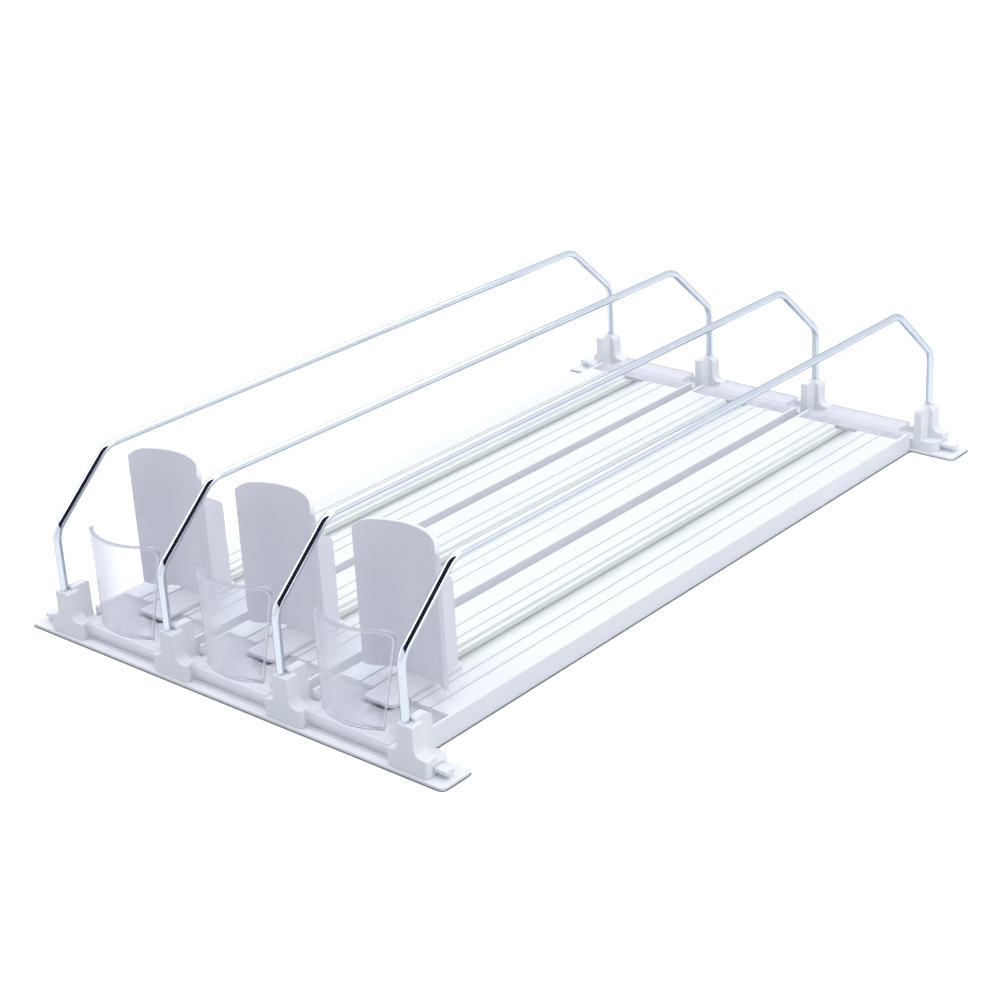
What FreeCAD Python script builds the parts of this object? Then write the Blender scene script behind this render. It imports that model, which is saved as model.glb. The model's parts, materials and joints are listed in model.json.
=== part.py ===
import FreeCAD, Part
import math
import os
import Sketcher

# A fridge can organizer with three lanes. Millimetres; X runs along the rails to the right, Y runs
# from the front to the back along the lanes, Z is up. The origin is on the shelf, at the middle of
# the whole. Two T-ridged rails carry three tracks through clear shoes: the front shoe rises into a
# curved stop, the rear one is a plain cap. Four bent wires stand in clips on the rails and part the
# lanes. In each lane a pusher runs in the track's undercut channel, drawn forward by a flat spring
# that is rolled on a drum inside the pusher's housing and held at the front of the channel.

LANES = 3
FRONT, REAR = 0, 180      # degrees that a rail, a shoe or a clip is turned, as seen from above

# The driving dimensions. A height that ends in top, floor or seat is measured from the shelf.
DIMENSIONS = {
    "lane_pitch": 74,             # from one divider to the next
    "rail_overhang": 11.5,        # from the outer dividers' clips to the ends of the rail
    "rail_width": 18.6,
    "rail_thickness": 1.5,
    "rail_corner": 2,
    "ridge_setback": 8.6,         # from the rail's outer edge to the middle of its ridge
    "ridge_web": 2,
    "ridge_neck": 2.1,            # height of the web under the ridge's head
    "ridge_head": 5.5,
    "ridge_head_height": 2,
    "ridge_end_gap": 3,           # from the end of the ridge to the end of the rail
    "ridge_clearance": 0.25,      # round the ridge, in the shoes and clips that hold it
    "seat_clearance": 0.1,        # under the shoes and clips, over the rail's plate
    "track_length": 404,
    "track_width": 67,
    "track_height": 10.8,
    "track_wall": 1.6,
    "bead_width": 1.2,
    "bead_height": 0.5,
    "inner_bead": 12.7,           # from the middle of the lane to each bead that carries the cans
    "outer_bead": 21,
    "step_width": 14.6,           # the mouth of the channel, at the deck
    "step_depth": 1.7,
    "channel_width": 10,
    "channel_floor": 4.6,
    "groove_depth": 1.5,          # the undercut at the foot of each channel wall
    "groove_height": 1.8,
    "front_notch": 18,            # length of the deck that gives way to the front shoe
    "rear_notch": 12,
    "shoe_plate": 2,
    "shoe_wall": 1.6,
    "shoe_front_gap": 4,          # from the rail's outer edge to the shoe's face
    "shoe_edge": 1,               # the bevel along the shoe's outer edge
    "shoe_clearance": 0.3,        # from a shoe to the clips and walls beside it
    "cap_lip": 0.7,               # how far the rear cap's lip stands above the deck
    "stop_top": 58.5,
    "stop_wall": 2,
    "stop_top_width": 50.6,
    "stop_foot_width": 37,
    "stop_radius": 34,            # of the stop's face, which follows the first can
    "stop_setback": 4.6,          # from the rail's outer edge to the stop's foremost point
    "stop_corner": 6,
    "window_width": 17,           # the opening in the front shoe, over the spring's fixed end
    "window_length": 7,
    "window_corner": 2,
    "window_setback": 6,          # from the window to the inner edge of the shoe
    "anchor_width": 6,
    "anchor_length": 3.6,
    "paddle_width": 48.8,
    "paddle_radius": 33,          # the hollow of the paddle, which is a drink can's radius
    "paddle_wall": 2,
    "paddle_top": 86.5,
    "paddle_bottom": 14.5,
    "paddle_top_corner": 7.5,
    "paddle_bottom_corner": 6,
    "foot_width": 18,
    "foot_length": 48,
    "foot_thickness": 1.6,
    "foot_lead": 11,              # how far the foot runs ahead of the track's deck
    "foot_corner": 3,
    "foot_clearance": 0.15,       # between the foot and the deck
    "slide_clearance": 0.3,       # round the runners in the channel
    "runner_wall": 1.2,
    "runner_tail": 1,             # from the end of the runners to the end of the foot
    "paddle_lead": 28,            # from the front of the foot to the middle of the paddle
    "housing_width": 14,
    "housing_wall": 1.6,
    "housing_tail": 2,            # from the back of the housing to the end of the foot
    "housing_top": 67,
    "housing_drop": 11,           # how far the housing's roof falls from front to back
    "housing_corner": 5,
    "housing_lip": 36,            # the height above which the housing's back is closed
    "drum_setback": 9.8,          # from the drum's axis to the end of the foot
    "drum_radius": 4.5,
    "axle_radius": 1.5,
    "axle_length": 12.8,
    "axle_clearance": 0.05,
    "coil_radius": 7.4,
    "spring_width": 6,
    "spring_thickness": 0.2,
    "spring_lift": 0.15,          # between the spring's strip and the channel's floor
    "coil_clearance": 0.05,       # between the roll and its drum, and the roll and its own strip
    "wire_diameter": 4,
    "wire_clearance": 0.05,
    "wire_setback": 3.4,          # from a clip's face to the leg of the wire in it
    "wire_seat": 14,
    "wire_shoulder": 54.5,        # height of the bend at the top of a leg
    "wire_height": 86.5,          # height of the wire's level run
    "wire_lean": 36,              # how far the slanting stretch leans in
    "shoulder_bend": 12,
    "top_bend": 14,
    "clip_width": 23,
    "clip_top": 24,
    "front_shift": 1.6,           # of the front clips and shoes, to the right of wires and lanes
    "clip_setback": 1.4,          # from the rail's outer edge to the clip's face
    "clip_corner": 1.6,           # of the foot's front edges, as seen from above
    "tower_width": 9.2,
    "tower_depth": 7.2,
    "tower_corner": 0.8,
    "rear_tower_corner": 3,
    "wing_top": 10.2,
    "wing_corner": 1.5,
    "wing_fillet": 4,
    "fin_thickness": 4.5,
    "fin_depth": 8.3,
    "fin_top": 25.4,
    "fin_corner": 1.2,
    "last_fin_corner": 3.8,       # of the clips at the right-hand end, which are rounder
    "lug_depth": 8.6,
    "lug_top": 6.9,
    "lug_corner": 5,
}

doc = FreeCAD.newDocument("can_organizer")
sheet = doc.addObject("Spreadsheet::Sheet", "Sizes")
for row, (name, value) in enumerate(DIMENSIONS.items(), start=1):
    sheet.set("A%d" % row, name)
    sheet.set("B%d" % row, str(value))
    sheet.setAlias("B%d" % row, name)
doc.recompute()


class Size:
    """A length that knows its formula over the sheet, to bind a property to, and its value now."""

    def __init__(self, formula, value):
        self.formula = formula
        self.value = value

    def __add__(self, other):
        return combine(self, "+", other, self.value + worth(other))

    def __radd__(self, other):
        return combine(other, "+", self, worth(other) + self.value)

    def __sub__(self, other):
        return combine(self, "-", other, self.value - worth(other))

    def __rsub__(self, other):
        return combine(other, "-", self, worth(other) - self.value)

    def __mul__(self, other):
        return combine(self, "*", other, self.value * worth(other))

    def __rmul__(self, other):
        return combine(other, "*", self, worth(other) * self.value)

    def __truediv__(self, other):
        return combine(self, "/", other, self.value / worth(other))

    def __neg__(self):
        return combine(0, "-", self, -self.value)


def worth(length):
    """The value of a Size or of a plain number."""
    return length.value if isinstance(length, Size) else float(length)


def formula(length):
    """The formula of a Size or of a plain number."""
    return length.formula if isinstance(length, Size) else "%.6f" % length


def combine(left, sign, right, value):
    return Size("(%s %s %s)" % (formula(left), sign, formula(right)), value)


def root(length):
    return Size("sqrt(%s)" % formula(length), math.sqrt(worth(length)))


def size(name):
    return Size("Sizes." + name, float(sheet.get(name)))


def bind(thing, name, length):
    """Ties a property of an object to the sheet."""
    if isinstance(length, Size):
        thing.setExpression(name, length.formula)
    else:
        setattr(thing, name, length)


def place(thing, across=0, along=0, up=0, turn=FRONT):
    """Puts a finished sub-part in its place, turned about the vertical."""
    spot = FreeCAD.Vector(worth(across), worth(along), worth(up))
    thing.Placement = FreeCAD.Placement(spot, FreeCAD.Rotation(FreeCAD.Vector(0, 0, 1), turn))
    for letter, length in (("x", across), ("y", along), ("z", up)):
        if isinstance(length, Size):
            thing.setExpression("Placement.Base." + letter, length.formula)


# Drawing. A corner is (x, y), or (x, y, radius) where an arc leaves it for the next corner: a
# positive radius turns left, a negative one turns right. One corner with a radius stands for a
# circle about it. Every corner is bound to the sheet.

def arc_between(here, there, radius):
    """The arc of under half a turn from one point to another, run anticlockwise."""
    chord = there.sub(here)
    half = chord.Length / 2
    rise = math.sqrt(max(radius * radius - half * half, 0))
    left = FreeCAD.Vector(-chord.y, chord.x, 0).normalize()
    centre = here.add(chord.multiply(0.5)).add(left.multiply(math.copysign(rise, radius)))
    first, last = (here, there) if radius > 0 else (there, here)
    start = math.atan2(first.y - centre.y, first.x - centre.x)
    finish = math.atan2(last.y - centre.y, last.x - centre.x)
    if finish < start:
        finish += 2 * math.pi
    circle = Part.Circle(centre, FreeCAD.Vector(0, 0, 1), abs(radius))
    return Part.ArcOfCircle(circle, start, finish)


def fix_point(sketch, edge, end, corner):
    """Binds one end of an edge to its two distances from the sketch's origin."""
    for kind, axis, length in (("DistanceX", -2, corner[0]), ("DistanceY", -1, corner[1])):
        value = worth(length)
        if abs(value) < 1e-9:
            sketch.addConstraint(Sketcher.Constraint("PointOnObject", edge, end, axis))
            continue
        if value > 0:
            rule = Sketcher.Constraint(kind, -1, 1, edge, end, value)
        else:
            rule = Sketcher.Constraint(kind, edge, end, -1, 1, -value)
            length = -length
        number = sketch.addConstraint(rule)
        if isinstance(length, Size):
            sketch.setExpression("Constraints[%d]" % number, length.formula)


def draw_circle(sketch, middle):
    """Draws a circle about one corner."""
    centre = FreeCAD.Vector(worth(middle[0]), worth(middle[1]), 0)
    ring = Part.Circle(centre, FreeCAD.Vector(0, 0, 1), worth(middle[2]))
    edge = sketch.addGeometry(ring, False)
    number = sketch.addConstraint(Sketcher.Constraint("Radius", edge, worth(middle[2])))
    sketch.setExpression("Constraints[%d]" % number, middle[2].formula)
    fix_point(sketch, edge, 3, middle)


def draw(sketch, corners, closed=True):
    """Draws one outline of lines and arcs through its corners."""
    if len(corners) == 1:
        draw_circle(sketch, corners[0])
        return
    spots = [FreeCAD.Vector(worth(corner[0]), worth(corner[1]), 0) for corner in corners]
    count = len(corners) if closed else len(corners) - 1
    edges = []
    for index in range(count):
        here = spots[index]
        there = spots[(index + 1) % len(corners)]
        if len(corners[index]) == 2:
            edge = sketch.addGeometry(Part.LineSegment(here, there), False)
            edges.append((edge, 1, 2))
            continue
        radius = corners[index][2]
        edge = sketch.addGeometry(arc_between(here, there, worth(radius)), False)
        edges.append((edge, 1, 2) if worth(radius) > 0 else (edge, 2, 1))
        number = sketch.addConstraint(Sketcher.Constraint("Radius", edge, abs(worth(radius))))
        if isinstance(radius, Size):
            turned = radius if worth(radius) > 0 else -radius
            sketch.setExpression("Constraints[%d]" % number, turned.formula)
    for index, (edge, start, finish) in enumerate(edges):
        fix_point(sketch, edge, start, corners[index])
        if closed or index + 1 < count:
            following, first, _ = edges[(index + 1) % count]
            sketch.addConstraint(Sketcher.Constraint("Coincident", edge, finish, following, first))
    if not closed:
        edge, _, finish = edges[-1]
        fix_point(sketch, edge, finish, corners[-1])


def both_sides(right):
    """Completes the right half of a symmetrical outline with its mirror image."""
    left = []
    for index in reversed(range(len(right))):
        bend = tuple(right[index - 1][2:]) if index else ()
        left.append((-right[index][0], right[index][1]) + bend)
    return right + left


def mirrored(outline):
    """The same outline on the other side of the sketch's upright axis."""
    turned = []
    for corner in outline:
        bend = (-corner[2],) if len(corner) > 2 else ()
        turned.append((-corner[0], corner[1]) + bend)
    return turned


def rectangle(left, right, bottom, top):
    return [(left, bottom), (right, bottom), (right, top), (left, top)]


def rounded(left, right, bottom, top, radius):
    """A rectangle with its four corners rounded."""
    return [
        (left + radius, bottom), (right - radius, bottom, radius),
        (right, bottom + radius), (right, top - radius, radius),
        (right - radius, top), (left + radius, top, radius),
        (left, top - radius), (left, bottom + radius, radius),
    ]


# Each plane's sketch looks along one axis, so a slab between two distances along that axis starts
# from the one that the plane's normal comes to first.
PLANES = {"plan": "XY_Plane", "front": "XZ_Plane", "side": "YZ_Plane"}


def new_sketch(body, view, name, outlines, offset=0, closed=True):
    plane = [item for item in body.Origin.OriginFeatures if item.Role == PLANES[view]][0]
    sketch = body.newObject("Sketcher::SketchObject", name)
    sketch.AttachmentSupport = [(plane, "")]
    sketch.MapMode = "FlatFace"
    if isinstance(offset, Size):
        sketch.setExpression("AttachmentOffset.Base.z", offset.formula)
    else:
        sketch.AttachmentOffset = FreeCAD.Placement(FreeCAD.Vector(0, 0, offset), FreeCAD.Rotation())
    for outline in outlines:
        draw(sketch, outline, closed)
    sketch.Visibility = False
    return sketch


def slab(body, view, name, outlines, start, finish, remove=False):
    """Adds or removes a straight slab between two distances along the axis of a view."""
    offset = -finish if view == "front" else start
    sketch = new_sketch(body, view, name + "_sketch", outlines, offset)
    feature = body.newObject("PartDesign::Pocket" if remove else "PartDesign::Pad", name)
    feature.Profile = sketch
    feature.Type = 0
    feature.Reversed = remove
    bind(feature, "Length", finish - start)
    if remove:
        doc.recompute()
        before = feature.BaseFeature.Shape.Volume
        if feature.Shape.Volume >= before:
            raise ValueError(body.Name + ": " + name + " removes nothing")
    return feature


def new_body(name):
    body = doc.addObject("PartDesign::Body", name)
    body.Label = name
    return body


# Places that several pieces share. The lane's own frame has its middle at x = 0.
rail_inner = size("track_length") / 2
rail_outer = rail_inner + size("rail_width")
ridge_middle = rail_outer - size("ridge_setback")
neck_top = size("rail_thickness") + size("ridge_neck")
ridge_top = neck_top + size("ridge_head_height")
seat = size("rail_thickness") + size("seat_clearance")
deck = size("track_height")
shoe_under = deck - size("shoe_plate")
track_inside = size("track_width") / 2 - size("track_wall")
groove_side = size("channel_width") / 2 + size("groove_depth")
groove_top = size("channel_floor") + size("groove_height")
ledge = deck - size("step_depth")
foot_under = deck + size("foot_clearance")
foot_top = foot_under + size("foot_thickness")
foot_front = -rail_inner + size("front_notch") - size("foot_lead")
foot_back = foot_front + size("foot_length")
strip_bottom = size("channel_floor") + size("spring_lift")
strip_top = strip_bottom + size("spring_thickness")
drum_along = foot_back - size("drum_setback")
drum_up = strip_top + size("coil_clearance") + size("coil_radius")
notch_edge = -rail_inner + size("front_notch")
anchor_front = notch_edge - size("window_setback")
wire_along = rail_outer - size("clip_setback") - size("wire_setback")


def lane_middle(number):
    return size("lane_pitch") * (number - (LANES + 1) / 2)


def divider_place(number):
    return size("lane_pitch") * (number - (LANES + 2) / 2)


def ridge_slot(body, start, finish):
    """Cuts the T-shaped slot by which a shoe or a clip holds the rail's ridge."""
    gap = size("ridge_clearance")
    web = size("ridge_web") / 2 + gap
    head = size("ridge_head") / 2 + gap
    outline = [
        (-ridge_middle - web, 0), (-ridge_middle + web, 0),
        (-ridge_middle + web, neck_top - gap), (-ridge_middle + head, neck_top - gap),
        (-ridge_middle + head, ridge_top + gap), (-ridge_middle - head, ridge_top + gap),
        (-ridge_middle - head, neck_top - gap), (-ridge_middle - web, neck_top - gap),
    ]
    slab(body, "side", "ridge_slot", [outline], start, finish, remove=True)


def make_rail(name, turn):
    """A flat strip with a T-shaped ridge along it, which the shoes and clips slide on to."""
    body = new_body(name)
    half = size("lane_pitch") * LANES / 2 + size("clip_width") / 2 + size("rail_overhang")
    plate = rounded(-half, half, -rail_outer, -rail_inner, size("rail_corner"))
    slab(body, "plan", "plate", [plate], 0 * half, size("rail_thickness"))
    web = size("ridge_web") / 2
    head = size("ridge_head") / 2
    ridge = [
        (-ridge_middle - web, size("rail_thickness") / 2),
        (-ridge_middle + web, size("rail_thickness") / 2),
        (-ridge_middle + web, neck_top), (-ridge_middle + head, neck_top),
        (-ridge_middle + head, ridge_top), (-ridge_middle - head, ridge_top),
        (-ridge_middle - head, neck_top), (-ridge_middle - web, neck_top),
    ]
    reach = half - size("ridge_end_gap")
    slab(body, "side", "ridge", [ridge], -reach, reach)
    place(body, turn=turn)
    return body


def make_track(name, across):
    """A ribbed tray with beads for the cans and an undercut channel for the pusher."""
    body = new_body(name)
    wall = size("track_wall")
    outside = size("track_width") / 2
    under = deck - wall
    bead = size("bead_width") / 2
    bead_round = (bead * bead + size("bead_height") * size("bead_height")) / (size("bead_height") * 2)
    inner, outer = size("inner_bead"), size("outer_bead")
    floor = size("channel_floor")
    right = [
        (groove_side + wall, floor - wall), (groove_side + wall, under),
        (inner - bead, under), (inner - bead, 0), (inner + bead, 0), (inner + bead, under),
        (outer - bead, under), (outer - bead, 0), (outer + bead, 0), (outer + bead, under),
        (track_inside, under), (track_inside, 0), (outside, 0), (outside, deck),
        (outer + bead, deck, bead_round), (outer - bead, deck),
        (inner + bead, deck, bead_round), (inner - bead, deck),
        (size("step_width") / 2, deck), (size("step_width") / 2, ledge),
        (size("channel_width") / 2, ledge), (size("channel_width") / 2, groove_top),
        (groove_side, groove_top), (groove_side, floor),
    ]
    slab(body, "front", "profile", [both_sides(right)], -rail_inner, rail_inner)
    high = deck + size("bead_height") * 2
    notch = rectangle(-track_inside, track_inside, shoe_under, high)
    slab(body, "front", "front_notch", [notch], -rail_inner, notch_edge, remove=True)
    slab(body, "front", "rear_notch", [notch], rail_inner - size("rear_notch"), rail_inner, remove=True)
    place(body, across)
    return body


def add_shoe(body, reach, top, shift):
    """The clear shoe that joins a track's end to a rail: its plate lies in the track's notch."""
    half = size("lane_pitch") / 2 - size("clip_width") / 2 - size("shoe_clearance")
    start, finish = shift - half, shift + half
    wall = size("shoe_wall")
    face = -rail_outer + size("shoe_front_gap")
    back = -ridge_middle + size("ridge_head") / 2 + size("ridge_clearance") + wall
    edge = size("shoe_edge")
    outline = [
        (face, seat), (back, seat), (back, shoe_under), (-rail_inner, shoe_under),
        (-rail_inner, deck), (face + wall, deck), (face + wall, top), (face + edge, top),
        (face, top - edge),
    ] if top is not deck else [
        (face, seat), (back, seat), (back, shoe_under), (-rail_inner, shoe_under),
        (-rail_inner, deck), (face + edge, deck), (face, deck - edge),
    ]
    slab(body, "side", "saddle", [outline], start, finish)
    head = size("ridge_head") / 2 + size("ridge_clearance")
    hollow = rectangle(-ridge_middle - head, -ridge_middle + head, ridge_top, shoe_under)
    slab(body, "side", "hollow", [hollow], start, finish, remove=True)
    ridge_slot(body, start, finish)
    plate_half = track_inside - size("shoe_clearance")
    plate = rectangle(-plate_half, plate_half, -rail_inner - wall, reach - size("shoe_clearance"))
    slab(body, "plan", "plate", [plate], shoe_under, deck)


def bowed_wall(width, radius, wall, foremost):
    """The plan of a curved wall: two arcs about one centre, with the ends cut square to them."""
    half = width / 2
    share = (radius - wall) / radius
    centre = foremost + radius
    back = root(radius * radius - half * half)
    return [(-half, centre - back, radius), (half, centre - back),
            (half * share, centre - back * share, -(radius - wall)),
            (-half * share, centre - back * share)]


def make_front_stop(name, across):
    """The clear front shoe with the bowed wall that the first can leans on."""
    body = new_body(name)
    add_shoe(body, notch_edge, deck, size("front_shift"))
    wall = size("stop_wall")
    foremost = -rail_outer + size("stop_setback")
    foot = bowed_wall(size("stop_foot_width"), size("stop_radius"), wall, foremost)
    head = bowed_wall(size("stop_top_width"), size("stop_radius"), wall, foremost)
    sunk = deck - size("shoe_plate") / 2
    low = new_sketch(body, "plan", "stop_foot", [foot], sunk)
    high = new_sketch(body, "plan", "stop_head", [head], size("stop_top"))
    loft = body.newObject("PartDesign::AdditiveLoft", "stop_wall")
    loft.Profile = low
    loft.Sections = [high]
    loft.Ruled = True
    half = size("stop_top_width") / 2
    corner = size("stop_corner")
    top = size("stop_top")
    cut = [(half - corner, top, -corner), (half, top - corner), (half + wall, top - corner),
           (half + wall, top + wall), (half - corner, top + wall)]
    slab(body, "front", "top_corners", [cut, mirrored(cut)], -rail_outer, -rail_inner, remove=True)
    window = size("window_width") / 2
    opening = rounded(-window, window, anchor_front - size("window_length"), anchor_front,
                      size("window_corner"))
    slab(body, "plan", "window", [opening], shoe_under, deck, remove=True)
    anchor = size("anchor_width") / 2
    post = rectangle(-anchor, anchor, anchor_front, anchor_front + size("anchor_length"))
    slab(body, "plan", "spring_anchor", [post], strip_top, shoe_under)
    place(body, across)
    return body


def make_rear_cap(name, across):
    """The clear rear shoe, with a low lip along its back."""
    body = new_body(name)
    add_shoe(body, -rail_inner + size("rear_notch"), deck + size("cap_lip"), 0)
    place(body, across, turn=REAR)
    return body


def make_pusher(name, across):
    """The white pusher: a hollowed paddle, a spring housing behind it, a foot and two runners."""
    body = new_body(name)
    radius = size("paddle_radius")
    wall = size("paddle_wall")
    half = size("paddle_width") / 2
    middle = foot_front + size("paddle_lead")
    centre = middle - radius
    ends = centre + root(radius * radius - half * half)
    share = (radius + wall) / radius
    rear_half = half * share
    rear_ends = centre + (ends - centre) * share
    plan = [(half, ends, radius), (-half, ends), (-rear_half, rear_ends, -(radius + wall)),
            (rear_half, rear_ends)]
    top = size("paddle_top")
    slab(body, "plan", "paddle", [plan], foot_top - size("foot_thickness") / 2, top)

    # The paddle's outline, seen from the front: rounded corners, and a tongue down to the foot.
    bottom = size("paddle_bottom")
    tongue = size("foot_width") / 2
    corner = size("paddle_top_corner")
    low_corner = size("paddle_bottom_corner")
    outline = both_sides([
        (tongue, foot_under), (tongue, bottom), (rear_half - low_corner, bottom, low_corner),
        (rear_half, bottom + low_corner), (rear_half, top - corner, corner),
        (rear_half - corner, top),
    ])
    beyond = rectangle(-rear_half - wall, rear_half + wall, foot_under - wall, top + wall)
    slab(body, "front", "paddle_outline", [beyond, outline], ends - wall, middle + wall * 2, remove=True)

    # The foot lies on the deck, with an opening that the roll of spring dips through.
    foot = rounded(-tongue, tongue, foot_front, foot_back, size("foot_corner"))
    slab(body, "plan", "foot", [foot], foot_under, foot_top)

    # The housing: two cheeks from the paddle's back, and a roof that runs down over the rear edge.
    back = foot_back - size("housing_tail")
    roof = size("housing_top")
    drop = size("housing_drop")
    start = middle + wall / 2
    run = back - start
    slope = root(run * run + drop * drop)
    cut = size("housing_corner") * (slope - drop) / run
    cheek_wall = size("housing_wall")
    cheek_base = ledge + size("slide_clearance")
    bend_start = (back - cut * run / slope, roof - drop + cut * drop / slope)
    bend_end = (back, roof - drop - cut)
    bend = size("housing_corner")
    cheek = [(start, cheek_base), (back, cheek_base), bend_end + (bend,), bend_start, (start, roof)]
    outside = size("housing_width") / 2
    inside = outside - cheek_wall
    slab(body, "side", "cheek_right", [cheek], inside, outside)
    slab(body, "side", "cheek_left", [cheek], -outside, -inside)
    lip = size("housing_lip")
    cover = [(back - cheek_wall, lip), (back, lip), bend_end + (bend,), bend_start, (start, roof),
             (start, roof - cheek_wall), (back - cheek_wall, roof - drop - cut)]
    slab(body, "side", "cover", [cover], -inside, inside)

    # Two runners hang in the channel and hook under its lips.
    gap = size("slide_clearance")
    runner_out = size("channel_width") / 2 - gap
    runner_in = runner_out - size("runner_wall")
    toe = groove_side - gap
    runner = [(runner_in, size("channel_floor") + gap), (toe, size("channel_floor") + gap),
              (toe, groove_top - gap), (runner_out, groove_top - gap), (runner_out, foot_top),
              (runner_in, foot_top)]
    slab(body, "front", "runners", [runner, mirrored(runner)], notch_edge + gap,
         foot_back - size("runner_tail"))

    # Room for the roll, and a blind socket in each cheek for the drum's axle.
    roll = size("coil_radius") + gap
    room = rectangle(-runner_in, runner_in, drum_along - roll, drum_along + roll)
    slab(body, "plan", "roll_opening", [room], size("channel_floor"), foot_top, remove=True)
    axle = size("axle_radius") + size("axle_clearance")
    socket = [(drum_along, drum_up, axle)]
    reach = size("axle_length") / 2 + size("coil_clearance")
    slab(body, "side", "axle_sockets", [socket], -reach, reach, remove=True)
    place(body, across)
    return body


def rod(name, radius, length):
    """A round bar across the lane, centred on the drum's axis."""
    bar = doc.addObject("Part::Cylinder", name)
    bind(bar, "Radius", radius)
    bind(bar, "Height", length)
    bar.Placement = FreeCAD.Placement(FreeCAD.Vector(), FreeCAD.Rotation(FreeCAD.Vector(0, 1, 0), 90))
    bar.setExpression("Placement.Base.x", (-length / 2).formula)
    return bar


def make_drum(name, across):
    """The drum that the spring is rolled on, in one piece with its axle."""
    drum = doc.addObject("Part::Fuse", name)
    drum.Label = name
    drum.Base = rod(name + "_barrel", size("drum_radius"), size("spring_width"))
    drum.Tool = rod(name + "_axle", size("axle_radius"), size("axle_length"))
    place(drum, across, drum_along, drum_up)
    return drum


def make_roll(name, across):
    """The rolled part of the spring, as one solid."""
    roll = doc.addObject("Part::Cut", name)
    roll.Label = name
    roll.Base = rod(name + "_outside", size("coil_radius"), size("spring_width"))
    roll.Tool = rod(name + "_bore", size("drum_radius") + size("coil_clearance"), size("spring_width") * 2)
    place(roll, across, drum_along, drum_up)
    return roll


def make_strip(name, across):
    """The drawn-out part of the spring, from its fixed end under the anchor to the roll."""
    strip = doc.addObject("Part::Box", name)
    strip.Label = name
    bind(strip, "Length", size("spring_width"))
    bind(strip, "Width", drum_along - anchor_front)
    bind(strip, "Height", size("spring_thickness"))
    place(strip, across - size("spring_width") / 2, anchor_front, strip_bottom)
    return strip


def make_wire(name, across):
    """One bent wire: two legs, two slanting stretches and a level run between them."""
    body = new_body(name)
    reach, shoulder, top = wire_along, size("wire_shoulder"), size("wire_height")
    lean = size("wire_lean")
    rise = top - shoulder
    slant = root(lean * lean + rise * rise)
    low = size("shoulder_bend") * (slant - rise) / lean
    high = size("top_bend") * (slant - lean) / rise
    right = [
        (reach, size("wire_seat")), (reach, shoulder - low, size("shoulder_bend")),
        (reach - low * lean / slant, shoulder + low * rise / slant),
        (reach - lean + high * lean / slant, top - high * rise / slant, size("top_bend")),
        (reach - lean - high, top),
    ]
    path = both_sides(right)
    spine = new_sketch(body, "side", "path", [path], closed=False)
    radius = size("wire_diameter") / 2
    section = new_sketch(body, "plan", "section", [[(0, reach, radius)]], size("wire_seat"))
    pipe = body.newObject("PartDesign::AdditivePipe", "wire")
    pipe.Profile = section
    doc.recompute()
    pipe.Spine = (spine, ["Edge%d" % (index + 1) for index in range(len(path) - 1)])
    place(body, across)
    return body


def make_clip(name, across, turn, shift, tower_corner, fin_corner):
    """A divider's clip: winged foot on the ridge, tower with the wire's socket, fin and lug behind."""
    body = new_body(name)
    face = -rail_outer + size("clip_setback")
    half = size("clip_width") / 2
    tower = size("tower_width") / 2
    wing, corner, fillet = size("wing_top"), size("wing_corner"), size("wing_fillet")
    outline = both_sides([
        (half, seat), (half, wing - corner, corner), (half - corner, wing),
        (tower + fillet, wing, -fillet), (tower, wing + fillet),
        (tower, size("clip_top") - tower_corner, tower_corner), (tower - tower_corner, size("clip_top")),
    ])
    slab(body, "front", "tower", [outline], face, face + size("tower_depth"))
    edge = size("clip_corner")
    round_off = [(half - edge, face, edge), (half, face + edge), (half + edge, face + edge),
                 (half + edge, face - edge), (half - edge, face - edge)]
    slab(body, "plan", "foot_corners", [round_off, mirrored(round_off)], 0 * wing, wing + edge, remove=True)
    back = face + size("tower_depth")
    lug_back = back + size("lug_depth")
    lug_corner = size("lug_corner")
    lug = [(-half, back - lug_corner), (half, back - lug_corner), (half, lug_back - lug_corner, lug_corner),
           (half - lug_corner, lug_back), (-half + lug_corner, lug_back, lug_corner),
           (-half, lug_back - lug_corner)]
    slab(body, "plan", "lug", [lug], seat, size("lug_top"))
    fin = size("fin_thickness") / 2
    fin_back = back + size("fin_depth")
    fin_top = size("fin_top")
    fin_outline = [(back - fin, size("lug_top") - 1), (lug_back, size("lug_top") - 1),
                   (fin_back, size("wing_top")), (fin_back, fin_top - fin_corner, fin_corner),
                   (fin_back - fin_corner, fin_top), (back - fin, fin_top)]
    slab(body, "side", "fin", [fin_outline], -fin, fin)
    ridge_slot(body, -half, half)
    radius = size("wire_diameter") / 2 + size("wire_clearance")
    hole = [(-shift, -wire_along, radius)]
    slab(body, "plan", "wire_socket", [hole], size("wire_seat"), size("fin_top") + 1, remove=True)
    place(body, across + shift, turn=turn)
    return body


sub_parts = [make_rail("front_rail", FRONT), make_rail("rear_rail", REAR)]
for number in range(1, LANES + 1):
    middle = lane_middle(number)
    sub_parts += [
        make_track("track_%d" % number, middle),
        make_front_stop("front_stop_%d" % number, middle),
        make_rear_cap("rear_cap_%d" % number, middle),
        make_pusher("pusher_%d" % number, middle),
        make_drum("spring_hub_%d" % number, middle),
        make_roll("spring_coil_%d" % number, middle),
        make_strip("spring_strip_%d" % number, middle),
    ]
for number in range(1, LANES + 2):
    across = divider_place(number)
    fin_corner = size("last_fin_corner") if number > LANES else size("fin_corner")
    front = make_clip("front_clip_%d" % number, across, FRONT, size("front_shift"), size("tower_corner"),
                      fin_corner)
    rear = make_clip("rear_clip_%d" % number, across, REAR, 0, size("rear_tower_corner"), fin_corner)
    sub_parts += [make_wire("divider_wire_%d" % number, across), front, rear]
doc.recompute()

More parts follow.
